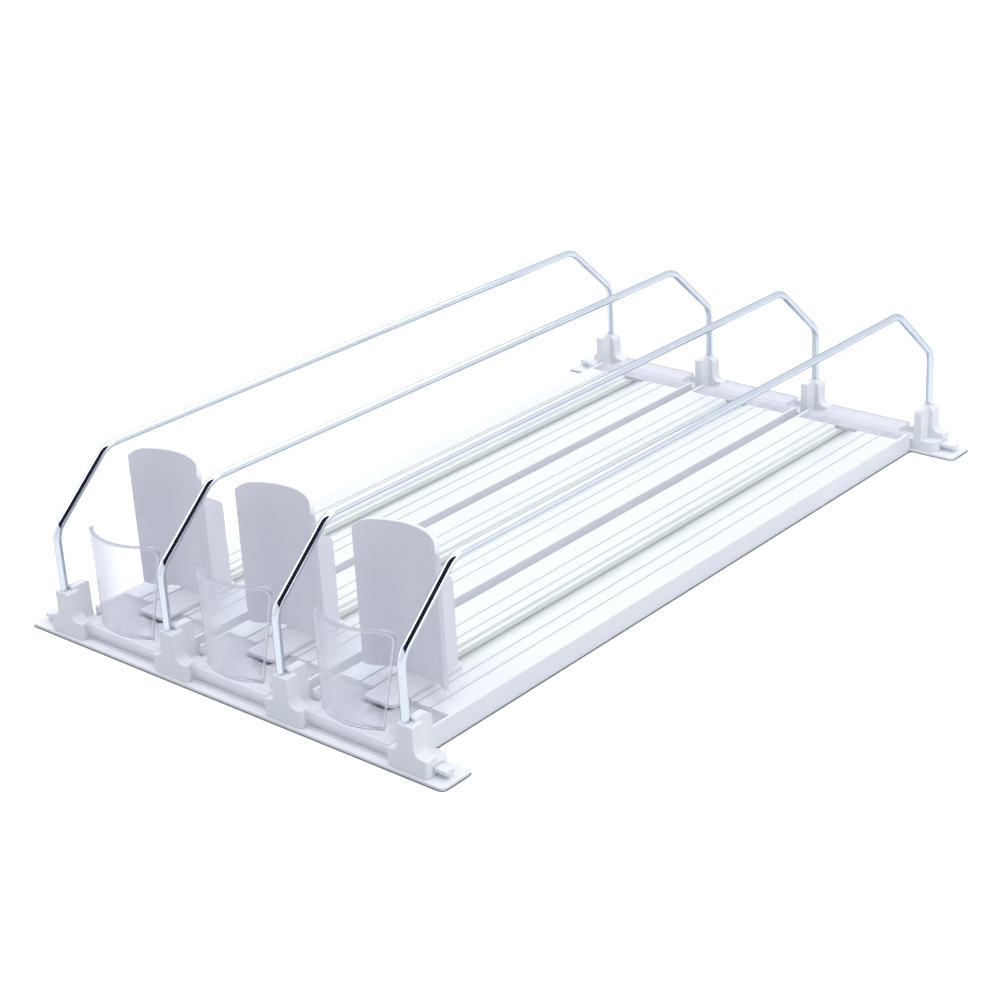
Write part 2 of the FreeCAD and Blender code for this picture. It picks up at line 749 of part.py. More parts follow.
# Nothing is written unless every object is sound.
for item in doc.Objects:
    if "Invalid" in item.State or "Error" in item.State:
        raise ValueError("not computed: " + item.Name)
os.makedirs("parts", exist_ok=True)
for piece in sub_parts:
    if piece.Shape.isNull() or not piece.Shape.isValid():
        raise ValueError("no sound shape: " + piece.Label)
for piece in sub_parts:
    piece.Shape.exportStep("parts/" + piece.Label + ".step")
    print(piece.Label, len(piece.Shape.Solids), "solid", round(piece.Shape.Volume / 1000, 3), "cm3")
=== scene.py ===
# %% [markdown]
# A can organizer for a fridge shelf: three ribbed lanes on two cross rails, four bent wires between
# them, clear stops at the front and a sprung pusher in each lane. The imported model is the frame:
# every piece below is laid on it, in metres, with +X to the right, +Y to the back and +Z up. Each
# piece of the frame is a node. A node keeps its own mesh and gets a finish, or a finer piece takes
# its place and rides on the same body, so that it moves as the node does.

# %% Load the frame
import json
import math

import bmesh
import bpy
import numpy as np
from mathutils import Matrix, Vector

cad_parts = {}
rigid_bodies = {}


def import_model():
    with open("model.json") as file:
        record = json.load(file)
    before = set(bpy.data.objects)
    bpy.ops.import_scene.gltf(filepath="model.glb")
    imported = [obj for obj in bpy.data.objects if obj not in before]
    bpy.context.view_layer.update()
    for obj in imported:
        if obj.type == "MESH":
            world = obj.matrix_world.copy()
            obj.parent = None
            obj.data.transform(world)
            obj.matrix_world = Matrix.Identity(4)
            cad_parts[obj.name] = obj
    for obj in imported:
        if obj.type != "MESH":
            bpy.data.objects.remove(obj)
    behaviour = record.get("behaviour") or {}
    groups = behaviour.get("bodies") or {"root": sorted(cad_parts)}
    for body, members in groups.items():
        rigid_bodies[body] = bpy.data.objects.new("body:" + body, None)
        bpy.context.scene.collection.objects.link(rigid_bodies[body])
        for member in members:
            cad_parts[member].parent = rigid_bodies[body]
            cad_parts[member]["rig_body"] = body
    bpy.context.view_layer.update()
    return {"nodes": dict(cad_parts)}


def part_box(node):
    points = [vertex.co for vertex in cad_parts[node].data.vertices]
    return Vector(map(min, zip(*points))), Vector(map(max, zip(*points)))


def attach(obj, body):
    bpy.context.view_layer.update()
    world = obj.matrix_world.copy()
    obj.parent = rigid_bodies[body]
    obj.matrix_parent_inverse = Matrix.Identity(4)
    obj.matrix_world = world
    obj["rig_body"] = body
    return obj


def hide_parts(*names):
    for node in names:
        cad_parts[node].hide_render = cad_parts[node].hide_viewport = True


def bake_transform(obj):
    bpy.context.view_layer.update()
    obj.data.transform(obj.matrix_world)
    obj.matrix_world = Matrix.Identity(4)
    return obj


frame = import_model()
nodes = frame["nodes"]
MM = 0.001
LANE_PITCH = 74 * MM
LANES = (1, 2, 3)
DIVIDERS = (1, 2, 3, 4)

# %% [markdown]
# The camera stands to the right and in front of the organizer and looks down on it. It could be
# aimed by eye at an empty. Here its place was worked out from the four wires, whose pitch is known,
# so that they fall where the photograph has them. It is given as an azimuth and an elevation, a
# small roll, a distance, two shifts across the line of sight and a small drop.

# %% Place the camera
CAMERA_AZIMUTH = math.radians(41.36)
CAMERA_ELEVATION = math.radians(23.61)
CAMERA_ROLL = math.radians(-3.19)
CAMERA_DISTANCE = 1.1207
CAMERA_RIGHT = -0.0158
CAMERA_UP = 0.0186
CAMERA_DROP = 0.0021
SENSOR = 36.0
LENS = 77.12


def camera_axes():
    """The camera's right, up and backward directions, from its azimuth, elevation and roll."""
    sideways = math.sin(CAMERA_AZIMUTH)
    ahead = math.cos(CAMERA_AZIMUTH)
    level = math.cos(CAMERA_ELEVATION)
    back = Vector((sideways * level, -ahead * level, math.sin(CAMERA_ELEVATION)))
    right = Vector((ahead, sideways, 0))
    up = back.cross(right)
    turned_right = right * math.cos(CAMERA_ROLL) + up * math.sin(CAMERA_ROLL)
    turned_up = up * math.cos(CAMERA_ROLL) - right * math.sin(CAMERA_ROLL)
    return turned_right, turned_up, back


right, up, back = camera_axes()
lens = bpy.data.cameras.new("camera")
lens.sensor_width = SENSOR
lens.lens = LENS
lens.clip_start = 0.05
lens.clip_end = 60
camera = bpy.data.objects.new("camera", lens)
bpy.context.scene.collection.objects.link(camera)
place = right * CAMERA_RIGHT + up * CAMERA_UP + back * CAMERA_DISTANCE - Vector((0, 0, CAMERA_DROP))
turn = Matrix((right, up, back)).transposed().to_4x4()
camera.matrix_world = Matrix.Translation(place) @ turn
bpy.context.scene.camera = camera
print("camera at", [round(value, 3) for value in place])

# %% [markdown]
# Each new piece is a mesh made from arrays of points and faces, so one helper makes them all. A
# second one multiplies a colour by a tint in a material, which the paper and the plastics need.

# %% Make the helpers for meshes and tints


def new_piece(name, vertices, faces, material, smooth=True):
    """Makes a mesh object from arrays of vertices and faces, and links it. Its shading is smooth or
    flat all over, or follows a list with one value for each face."""
    mesh = bpy.data.meshes.new(name)
    mesh.from_pydata(np.asarray(vertices).tolist(), [], [list(face) for face in faces])
    mesh.polygons.foreach_set("use_smooth", np.array(np.broadcast_to(smooth, len(mesh.polygons))))
    mesh.update()
    mesh.materials.append(material)
    piece = bpy.data.objects.new(name, mesh)
    bpy.context.scene.collection.objects.link(piece)
    return piece


def multiplied(tree, colour, tint, factor=None):
    """A colour times a tint, by a mask where one is given and everywhere else."""
    node = tree.nodes.new("ShaderNodeMix")
    node.data_type = "RGBA"
    node.blend_type = "MULTIPLY"
    node.inputs["Factor"].default_value = 1.0
    node.inputs["B"].default_value = (*tint, 1)
    tree.links.new(colour, node.inputs["A"])
    if factor is not None:
        tree.links.new(factor, node.inputs["Factor"])
    return node.outputs["Result"]


# %% [markdown]
# The organizer stands on white paper that runs out of the picture on every side. Paper that is only
# lit would come out grey, so this one glows as well, and the camera and the bright wires see it as a
# full white. Where a piece stands within a few millimetres, ambient occlusion finds it and a painted
# contact shadow darkens the paper to a line. To the light that bounces the paper is a mid grey, or
# the fronts of the pieces would be too pale.

# %% Lay the paper
PAPER_HALF = 12.0
PAPER_GLOW = 0.70
PAPER_GREY = (0.55, 0.55, 0.55)
BOUNCED_GREY = (0.60, 0.61, 0.64)
CONTACT_REACH = 2.5 * MM
CONTACT_SHADOW = (0.03, 0.03, 0.04)
CONTACT_COVERED = 0.64
CONTACT_OPEN = 0.86


def paper_finish():
    """Glowing white paper with a painted contact shadow where a piece is within a few millimetres, grey to
    bounced light.
    """
    material = bpy.data.materials.new("studio_paper")
    material.use_nodes = True
    tree = material.node_tree
    shader = tree.nodes["Principled BSDF"]
    shader.inputs["Roughness"].default_value = 0.9
    shader.inputs["Specular IOR Level"].default_value = 0.05
    shader.inputs["Emission Strength"].default_value = PAPER_GLOW
    # Painted contact shadow: ambient occlusion darkens the paper's glow and colour where a piece stands
    # close.
    contact = tree.nodes.new("ShaderNodeAmbientOcclusion")
    contact.inputs["Distance"].default_value = CONTACT_REACH
    contact.samples = 8
    edge = tree.nodes.new("ShaderNodeValToRGB")
    edge.color_ramp.elements[0].position = CONTACT_COVERED
    edge.color_ramp.elements[0].color = (*CONTACT_SHADOW, 1)
    edge.color_ramp.elements[1].position = CONTACT_OPEN
    edge.color_ramp.elements[1].color = (1, 1, 1, 1)
    tree.links.new(contact.outputs["AO"], edge.inputs["Fac"])
    tree.links.new(edge.outputs["Color"], shader.inputs["Emission Color"])
    grey = multiplied(tree, edge.outputs["Color"], PAPER_GREY)
    tree.links.new(grey, shader.inputs["Base Color"])
    bounce = tree.nodes.new("ShaderNodeBsdfDiffuse")
    bounce.inputs["Color"].default_value = (*BOUNCED_GREY, 1)
    ray = tree.nodes.new("ShaderNodeLightPath")
    choice = tree.nodes.new("ShaderNodeMixShader")
    tree.links.new(ray.outputs["Is Diffuse Ray"], choice.inputs["Fac"])
    tree.links.new(shader.outputs["BSDF"], choice.inputs[1])
    tree.links.new(bounce.outputs["BSDF"], choice.inputs[2])
    tree.links.new(choice.outputs["Shader"], tree.nodes["Material Output"].inputs["Surface"])
    return material


corners = np.array([(-1, -1, 0), (1, -1, 0), (1, 1, 0), (-1, 1, 0)]) * PAPER_HALF
paper = new_piece("paper", corners, [(0, 1, 2, 3)], paper_finish(), smooth=False)
print("paper", 2 * PAPER_HALF, "m wide")

# %% [markdown]
# The light comes mostly from above, through one wide soft lamp, with a weaker one at the right and
# the weakest at the left. So the tops are the brightest faces, the right sides a little darker, and
# the fronts a cool grey. A picture of a room could light the scene as well. Here the world is a
# plain cool colour, and a brighter one for what shows in gloss, so that the wires mirror a bright
# room while the room itself gives little light.

# %% Light the studio
OVERHEAD_POWER = 38.5
RIGHT_POWER = 5.0
LEFT_POWER = 2.5
ROOM_COLOUR = (0.80, 0.87, 1.0)
ROOM_STRENGTH = 0.40
MIRRORED_COLOUR = (0.93, 0.96, 1.0)
MIRRORED_STRENGTH = 1.15


def soft_light(name, place, aim, width, depth, power):
    """Adds a white rectangular lamp at a place, turned to face another place."""
    data = bpy.data.lights.new(name, "AREA")
    data.shape = "RECTANGLE"
    data.size = width
    data.size_y = depth
    data.energy = power
    lamp = bpy.data.objects.new(name, data)
    bpy.context.scene.collection.objects.link(lamp)
    lamp.location = place
    lamp.rotation_euler = (Vector(aim) - Vector(place)).to_track_quat("-Z", "Y").to_euler()
    print("lamp", name, power, "W")


def studio_world():
    """A dim, cool room for the light that it gives, and a bright one for what shows in gloss."""
    world = bpy.data.worlds.new("studio")
    world.use_nodes = True
    tree = world.node_tree
    room = tree.nodes["Background"]
    room.inputs["Color"].default_value = (*ROOM_COLOUR, 1)
    room.inputs["Strength"].default_value = ROOM_STRENGTH
    mirrored = tree.nodes.new("ShaderNodeBackground")
    mirrored.inputs["Color"].default_value = (*MIRRORED_COLOUR, 1)
    mirrored.inputs["Strength"].default_value = MIRRORED_STRENGTH
    ray = tree.nodes.new("ShaderNodeLightPath")
    choice = tree.nodes.new("ShaderNodeMixShader")
    tree.links.new(ray.outputs["Is Glossy Ray"], choice.inputs["Fac"])
    tree.links.new(room.outputs["Background"], choice.inputs[1])
    tree.links.new(mirrored.outputs["Background"], choice.inputs[2])
    tree.links.new(choice.outputs["Shader"], tree.nodes["World Output"].inputs["Surface"])
    return world


soft_light("overhead", (0, 0.2, 1.6), (0, 0.2, 0), width=3.0, depth=3.0, power=OVERHEAD_POWER)
soft_light("from_right", (1.6, 0.1, 0.5), (0, 0, 0.03), width=1.4, depth=1.0, power=RIGHT_POWER)
soft_light("from_left", (-1.4, -0.9, 0.5), (0, 0, 0.04), width=1.2, depth=0.9, power=LEFT_POWER)
bpy.context.scene.world = studio_world()
bpy.context.scene.view_settings.view_transform = "Standard"
bpy.context.scene.view_settings.look = "None"

# %% [markdown]
# Bright wire shows what stands round it, and the slanting front stretches of these wires have black
# middles. A black stripe could be painted on them, but it would be there from every side. So a dark
# panel hangs in front, above the camera, and the wires mirror it. Only mirror-like surfaces see it.

# %% Hang the dark panel
WIRE_FRONT = np.array((0, -0.2, 0.07))
DARK_PLACE = WIRE_FRONT + np.array((0.60, -0.32, 0.73))
DARK_ALONG = np.array((-0.78, -0.41, 0.46))
DARK_LENGTH = 2.3
DARK_WIDTH = 0.95
DARK_COLOUR = (0.018, 0.014, 0.03)


def panel_corners(place, aim, along, length, width):
    """The corners of a flat panel that faces a point: its place, plus or minus half the length along
    its long side, and half the width at right angles to that and to the line of sight."""
    facing = aim - place
    facing /= np.linalg.norm(facing)
    long_side = along - facing * (facing @ along)
    long_side /= np.linalg.norm(long_side)
    short_side = np.cross(facing, long_side)
    signs = np.array([(-1, -1), (1, -1), (1, 1), (-1, 1)])
    return place + signs[:, :1] * long_side * length / 2 + signs[:, 1:] * short_side * width / 2


def dark_finish():
    """One dark colour that no lamp changes."""
    material = bpy.data.materials.new("dark_panel")
    material.use_nodes = True
    glow = material.node_tree.nodes.new("ShaderNodeEmission")
    glow.inputs["Color"].default_value = (*DARK_COLOUR, 1)
    output = material.node_tree.nodes["Material Output"]
    material.node_tree.links.new(glow.outputs["Emission"], output.inputs["Surface"])
    return material


corners = panel_corners(DARK_PLACE, WIRE_FRONT, DARK_ALONG, DARK_LENGTH, DARK_WIDTH)
dark_panel = new_piece("dark_panel", corners, [(0, 1, 2, 3)], dark_finish(), smooth=False)
dark_panel.visible_camera = False
dark_panel.visible_diffuse = False
dark_panel.visible_transmission = False
dark_panel.visible_shadow = False
print("dark panel", DARK_LENGTH, "by", DARK_WIDTH, "m")

# %% [markdown]
# Every moulded plastic surface has a very fine grain and a faint unevenness left by the mould. A
# picture of such a surface could be wrapped round each piece, with seams to hide. Noise that reads
# the Object coordinates has none. The same effect serves the white, the clear and the nylon pieces,
# so it is one node group: it gives a height for a bump, and a mask that the colour and the roughness
# can follow.

# %% Build the moulding group
GRAIN_SHARE = 0.35


def moulding_group():
    """Noise at two scales over object space. The height is the fine noise times a share, plus the
    broad noise; the mask is the broad noise alone."""
    group = bpy.data.node_groups.new("moulding", "ShaderNodeTree")
    face = group.interface
    face.new_socket("Grain Scale", in_out="INPUT", socket_type="NodeSocketFloat")
    face.new_socket("Broad Scale", in_out="INPUT", socket_type="NodeSocketFloat")
    face.new_socket("Height", in_out="OUTPUT", socket_type="NodeSocketFloat")
    face.new_socket("Mask", in_out="OUTPUT", socket_type="NodeSocketFloat")
    tree = group.nodes
    start = tree.new("NodeGroupInput")
    finish = tree.new("NodeGroupOutput")
    coords = tree.new("ShaderNodeTexCoord")
    grain = tree.new("ShaderNodeTexNoise")
    broad = tree.new("ShaderNodeTexNoise")
    grain.inputs["Detail"].default_value = 2
    broad.inputs["Detail"].default_value = 1
    height = tree.new("ShaderNodeMath")
    height.operation = "MULTIPLY_ADD"
    height.inputs[1].default_value = GRAIN_SHARE
    link = group.links.new
    link(coords.outputs["Object"], grain.inputs["Vector"])
    link(coords.outputs["Object"], broad.inputs["Vector"])
    link(start.outputs["Grain Scale"], grain.inputs["Scale"])
    link(start.outputs["Broad Scale"], broad.inputs["Scale"])
    link(grain.outputs["Fac"], height.inputs[0])
    link(broad.outputs["Fac"], height.inputs[2])
    link(height.outputs["Value"], finish.inputs["Height"])
    link(broad.outputs["Fac"], finish.inputs["Mask"])
    return group


moulding = moulding_group()
print("group", moulding.name, "with", len(moulding.nodes), "nodes")

# %% [markdown]
# The rails, clips and tracks are a satin white plastic, the tracks a little cooler than the rest.
# The pushers get a darker, lilac copy of that white: painted shade, for the lilac grey of their
# shaded fronts. The drums are natural nylon, and the stops and caps clear. One flat colour for each
# would look like paint. So one function mixes them all: two near colours and two near roughnesses
# that follow the group's mask, with the group's height as the bump.

# %% Mix the moulded finishes


def between(tree, factor, low, high):
    """A colour that runs from one to another as a factor goes from 0.3 to 0.7."""
    ramp = tree.nodes.new("ShaderNodeValToRGB")
    ramp.color_ramp.elements[0].position = 0.3
    ramp.color_ramp.elements[0].color = (*low, 1)
    ramp.color_ramp.elements[1].position = 0.7
    ramp.color_ramp.elements[1].color = (*high, 1)
    tree.links.new(factor, ramp.inputs["Fac"])
    return ramp.outputs["Color"]


def ranged(tree, value, value_range, result_range):
    """A number that runs from one end of a range to the other as a value does the same."""
    node = tree.nodes.new("ShaderNodeMapRange")
    node.inputs["From Min"].default_value, node.inputs["From Max"].default_value = value_range
    node.inputs["To Min"].default_value, node.inputs["To Max"].default_value = result_range
    tree.links.new(value, node.inputs["Value"])
    return node.outputs["Result"]


def moulded_finish(name, low, high, roughness, grain_scale, broad_scale, bump):
    """A moulded plastic whose colour and roughness drift a little, with a fine grain in its bump."""
    material = bpy.data.materials.new(name)
    material.use_nodes = True
    tree = material.node_tree
    shader = tree.nodes["Principled BSDF"]
    effect = tree.nodes.new("ShaderNodeGroup")
    effect.node_tree = moulding
    effect.inputs["Grain Scale"].default_value = grain_scale
    effect.inputs["Broad Scale"].default_value = broad_scale
    raised = tree.nodes.new("ShaderNodeBump")
    raised.inputs["Strength"].default_value = bump
    raised.inputs["Distance"].default_value = 0.2 * MM
    tree.links.new(effect.outputs["Height"], raised.inputs["Height"])
    tree.links.new(raised.outputs["Normal"], shader.inputs["Normal"])
    tree.links.new(between(tree, effect.outputs["Mask"], low, high), shader.inputs["Base Color"])
    rough = ranged(tree, effect.outputs["Mask"], (0.3, 0.7), (roughness * 0.85, roughness * 1.15))
    tree.links.new(rough, shader.inputs["Roughness"])
    print("finish", name)
    return material


white_plastic = moulded_finish("white_plastic", (0.83, 0.85, 0.88), (0.87, 0.885, 0.905),
                               roughness=0.38, grain_scale=1800, broad_scale=24, bump=0.25)
# The pushers' lilac white is painted shade: a darker copy of the white plastic for their shaded fronts.
shaded_pusher_plastic = moulded_finish("shaded_pusher_plastic", (0.82, 0.80, 0.86), (0.85, 0.84, 0.885),
                                roughness=0.38, grain_scale=1800, broad_scale=24, bump=0.25)
track_plastic = moulded_finish("track_plastic", (0.84, 0.86, 0.89), (0.87, 0.885, 0.91),
                               roughness=0.38, grain_scale=1800, broad_scale=24, bump=0.15)
nylon = moulded_finish("drum_nylon", (0.74, 0.74, 0.70), (0.80, 0.80, 0.76),
                       roughness=0.45, grain_scale=1500, broad_scale=60, bump=0.3)
clear_stop = moulded_finish("clear_stop", (0.91, 0.91, 0.955), (0.95, 0.95, 0.98),
                            roughness=0.06, grain_scale=300, broad_scale=18, bump=0.06)
clear_cap = moulded_finish("clear_cap", (0.84, 0.84, 0.89), (0.88, 0.88, 0.92),
                           roughness=0.10, grain_scale=300, broad_scale=18, bump=0.06)

# %% [markdown]
# A pattern that follows a piece's shape, such as a line along its edge, can be painted on an
# unwrapped picture. All the lanes are alike here, so it is simpler to work it out from the place of
# each point: how far it is from the middle of its lane and from the middle of the length, and how
# high. Masks made from those three numbers then tint the finish.

# %% Find a point's place in its lane


def calculated(tree, operation, value, other=None, third=None):
    """One step of arithmetic on a linked value."""
    node = tree.nodes.new("ShaderNodeMath")
    node.operation = operation
    tree.links.new(value, node.inputs[0])
    for index, term in ((1, other), (2, third)):
        if isinstance(term, float):
            node.inputs[index].default_value = term
        elif term is not None:
            tree.links.new(term, node.inputs[index])
    return node.outputs["Value"]


def below(tree, value, full, none):
    """A mask that is one up to a value and none beyond another."""
    return ranged(tree, value, (full, none), (1.0, 0.0))


def without(tree, mask):
    """The mask of all that another mask leaves out: one less that mask."""
    return calculated(tree, "MULTIPLY_ADD", mask, -1.0, 1.0)


def lane_place(tree):
    """The distance from the lane's middle, which is X folded at the lane pitch, the distance from
    the middle of the length, and the height, all from Object coordinates."""
    coords = tree.nodes.new("ShaderNodeTexCoord")
    parts = tree.nodes.new("ShaderNodeSeparateXYZ")
    tree.links.new(coords.outputs["Object"], parts.inputs["Vector"])
    folded = calculated(tree, "WRAP", parts.outputs["X"], LANE_PITCH / 2, -LANE_PITCH / 2)
    away = calculated(tree, "ABSOLUTE", folded)
    return away, calculated(tree, "ABSOLUTE", parts.outputs["Y"]), parts.outputs["Z"]


def tinted(material, tint, mask):
    """Multiplies a finish's colour by a tint where a mask is one."""
    colour = material.node_tree.nodes["Principled BSDF"].inputs["Base Color"]
    plain = colour.links[0].from_socket
    material.node_tree.links.new(multiplied(material.node_tree, plain, tint, mask), colour)


# %% [markdown]
# Clear plastic shows by its edges, where the rounding bends the light: a thin grey line at the very
# edge and a white one inside it. Real glass in the shader could give them, but it takes many samples
# and can turn black in thin walls. So the distance from the rim of a stop's wall is worked out, and
# the lines are drawn by it. The part of a stop that lies on the rail is milky.

# %% Draw the edges of the stops
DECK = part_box("track_2")[1].z - 0.5 * MM
TRACK_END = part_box("track_2")[1].y
STOP_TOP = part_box("front_stop_2")[1].z
STOP_HALF = 25.3 * MM
STOP_FOOT = 9.8 * MM
STOP_FOOT_HALF = 18.5 * MM
STOP_SLOPE = (STOP_HALF - STOP_FOOT_HALF) / (STOP_TOP - STOP_FOOT)
STOP_CORNER = 6 * MM
GREY_EDGE = (0.52, 0.53, 0.58)


def edge_stops(material):
    """Draws the lines and gives how solid the finish is. The distance from a rim with a round corner
    is the corner's radius, less the length of what the distances from its side and from its top fall
    short of that radius."""
    tree = material.node_tree
    away, along, height = lane_place(tree)
    side = calculated(tree, "MULTIPLY_ADD", height, STOP_SLOPE, STOP_HALF - STOP_SLOPE * STOP_TOP)
    from_side = calculated(tree, "SUBTRACT", side, away)
    short_side = calculated(tree, "MULTIPLY_ADD", from_side, -1.0, STOP_CORNER)
    short_top = calculated(tree, "ADD", height, STOP_CORNER - STOP_TOP)
    short_side = calculated(tree, "MAXIMUM", short_side, 0.0)
    short_top = calculated(tree, "MAXIMUM", short_top, 0.0)
    squares = calculated(tree, "MULTIPLY", short_side, short_side)
    squares = calculated(tree, "MULTIPLY_ADD", short_top, short_top, squares)
    rim = calculated(tree, "MULTIPLY_ADD", calculated(tree, "SQRT", squares), -1.0, STOP_CORNER)
    on_wall = without(tree, below(tree, height, DECK, DECK + 0.2 * MM))
    line = below(tree, rim, 0.22 * MM, 0.4 * MM)
    foot = below(tree, height, DECK + 0.5 * MM, DECK + 0.9 * MM)
    grey = calculated(tree, "MULTIPLY", calculated(tree, "MAXIMUM", line, foot), on_wall)
    band = calculated(tree, "MULTIPLY", below(tree, rim, 0.9 * MM, 1.15 * MM), on_wall)
    on_rail = without(tree, below(tree, along, TRACK_END, TRACK_END + 0.2 * MM))
    milky = calculated(tree, "SUBTRACT", on_rail, on_wall)
    solid = calculated(tree, "MAXIMUM", calculated(tree, "MULTIPLY", band, 0.62),
                       calculated(tree, "MULTIPLY", milky, 0.42))
    tinted(material, GREY_EDGE, grey)
    return calculated(tree, "MAXIMUM", solid, calculated(tree, "MULTIPLY", grey, 0.78))


# %% [markdown]
# A cap is one clear moulding that bridges the rail and the end of the track. Its inner part lies
# over the white track and is tinted greyer: painted shade, for the shaded underside that shows
# through the clear plate. Its two edges and its step could be left to the light, but they are too
# low to show in soft light. So three grey lines are drawn across it, each by the distance from its
# own place along the lane.

# %% Draw the edges of the caps
CAP_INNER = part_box("rear_cap_2")[0].y
CAP_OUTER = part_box("rear_cap_2")[1].y
CAP_SHADE_TINT = (0.86, 0.86, 0.88)
CAP_LINE = (0.66, 0.67, 0.71)


def edge_caps(material):
    """Draws grey lines at the outer edge, at the step and at the inner edge, and gives how solid the
    finish is: more so inside the track's end, and most on the lines."""
    tree = material.node_tree
    along = lane_place(tree)[1]
    lines = None
    for edge in (CAP_INNER, TRACK_END, CAP_OUTER):
        gap = calculated(tree, "ABSOLUTE", calculated(tree, "SUBTRACT", along, edge))
        line = below(tree, gap, 0.25 * MM, 0.5 * MM)
        lines = line if lines is None else calculated(tree, "MAXIMUM", lines, line)
    inside = below(tree, along, TRACK_END, TRACK_END + 0.2 * MM)
    # Painted shade: the part over the track is tinted greyer, for the shade seen through the plate.
    tinted(material, CAP_SHADE_TINT, inside)
    tinted(material, CAP_LINE, lines)
    solid = calculated(tree, "MULTIPLY_ADD", inside, 0.22, 0.18)
    return calculated(tree, "MAXIMUM", solid, calculated(tree, "MULTIPLY", lines, 0.6))


# %% [markdown]
# A clear finish could be all glass or all transparent. It is a mix of two shaders here: where the
# plastic faces the viewer it is mostly a tinted Transparent shader, and where it is seen edge on it
# is mostly the glossy plastic. Lamps shine straight through it, because a clear stop throws next to
# no shadow.

# %% Let light through the clear pieces


def let_through(material, tint, facing_share, edge_share, solid):
    """Mixes a clear, tinted part into a finish. The finish itself covers a small share where the
    surface faces the viewer and a large one where it is seen edge on, and never less than a given
    share. Lamps shine through it."""
    tree = material.node_tree
    angle = tree.nodes.new("ShaderNodeLayerWeight")
    angle.inputs["Blend"].default_value = 0.5
    cover = ranged(tree, angle.outputs["Facing"], (0.15, 0.95), (facing_share, edge_share))
    see_through = tree.nodes.new("ShaderNodeBsdfTransparent")
    see_through.inputs["Color"].default_value = (*tint, 1)
    mix = tree.nodes.new("ShaderNodeMixShader")
    tree.links.new(calculated(tree, "MAXIMUM", cover, solid), mix.inputs["Fac"])
    tree.links.new(see_through.outputs["BSDF"], mix.inputs[1])
    tree.links.new(tree.nodes["Principled BSDF"].outputs["BSDF"], mix.inputs[2])
    ray = tree.nodes.new("ShaderNodeLightPath")
    lit = tree.nodes.new("ShaderNodeBsdfTransparent")
    choice = tree.nodes.new("ShaderNodeMixShader")
    tree.links.new(ray.outputs["Is Shadow Ray"], choice.inputs["Fac"])
    tree.links.new(mix.outputs["Shader"], choice.inputs[1])
    tree.links.new(lit.outputs["BSDF"], choice.inputs[2])
    tree.links.new(choice.outputs["Shader"], tree.nodes["Material Output"].inputs["Surface"])
    print("light passes", material.name, "with", len(tree.nodes), "nodes")


let_through(clear_stop, (0.945, 0.95, 0.97), 0.03, 0.75, edge_stops(clear_stop))
let_through(clear_cap, (0.94, 0.94, 0.965), 0.12, 0.8, edge_caps(clear_cap))

# %% [markdown]
# A track is one extrusion of white plastic with four fine beads on its deck. The beads are in its
# mesh. Little light reaches their feet, but the line that this leaves is thinner than soft light can
# show, so a thin grey line is drawn along both feet of each bead. The channel is a little greener
# than the deck. Both follow the distance from the middle of the lane.

# %% Rule the tracks
BEADS = (12.7 * MM, 21 * MM)
BEAD_HALF = 0.6 * MM
LINE_CORE = 0.13 * MM
LINE_EDGE = 0.36 * MM
LINE_TINT = (0.70, 0.69, 0.68)
CHANNEL_HALF = 7.4 * MM
CHANNEL_TINT = (0.99, 1.0, 0.955)


def rule_tracks(material):
    """Tints the channel and draws the lines: the distance from the nearer bead's middle, less half
    a bead, is nought at a bead's foot."""
    tree = material.node_tree
    away = lane_place(tree)[0]
    distances = []
    for bead in BEADS:
        gap = calculated(tree, "SUBTRACT", away, bead)
        distances.append(calculated(tree, "ABSOLUTE", gap))
    nearest = calculated(tree, "MINIMUM", distances[0], distances[1])
    foot = calculated(tree, "ABSOLUTE", calculated(tree, "SUBTRACT", nearest, BEAD_HALF))
    tinted(material, LINE_TINT, below(tree, foot, LINE_CORE, LINE_EDGE))
    tinted(material, CHANNEL_TINT, below(tree, away, CHANNEL_HALF - 0.1 * MM, CHANNEL_HALF + 0.1 * MM))
    print("ruled", material.name, "with", len(tree.nodes), "nodes")


rule_tracks(track_plastic)

# %% [markdown]
# The metal pieces are of two kinds. The divider wires are bright plated wire: almost a mirror, with
# a faint ripple from the drawing of the wire. The springs are rolled steel strip, with fine lines
# along the strip that spread its gloss. Anisotropy in the shader could spread it too, but it needs a
# direction at every point. Noise stretched by a Mapping node does it in the bump and the roughness.

# %% Mix the metal finishes


def metal_finish(name, low, high, roughness, stretch, scale, bump):
    """A metal with noise stretched along one axis, which gives rolled or drawn lines."""
    material = bpy.data.materials.new(name)
    material.use_nodes = True
    tree = material.node_tree
    shader = tree.nodes["Principled BSDF"]
    shader.inputs["Metallic"].default_value = 1.0
    coords = tree.nodes.new("ShaderNodeTexCoord")
    mapping = tree.nodes.new("ShaderNodeMapping")
    mapping.inputs["Scale"].default_value = stretch
    noise = tree.nodes.new("ShaderNodeTexNoise")
    noise.inputs["Scale"].default_value = scale
    noise.inputs["Detail"].default_value = 3
    raised = tree.nodes.new("ShaderNodeBump")
    raised.inputs["Strength"].default_value = bump
    raised.inputs["Distance"].default_value = 0.1 * MM
    tree.links.new(coords.outputs["Object"], mapping.inputs["Vector"])
    tree.links.new(mapping.outputs["Vector"], noise.inputs["Vector"])
    tree.links.new(noise.outputs["Fac"], raised.inputs["Height"])
    tree.links.new(raised.outputs["Normal"], shader.inputs["Normal"])
    tree.links.new(between(tree, noise.outputs["Fac"], low, high), shader.inputs["Base Color"])
    rough = ranged(tree, noise.outputs["Fac"], (0.3, 0.7), (roughness * 0.8, roughness * 1.25))
    tree.links.new(rough, shader.inputs["Roughness"])
    print("finish", name)
    return material


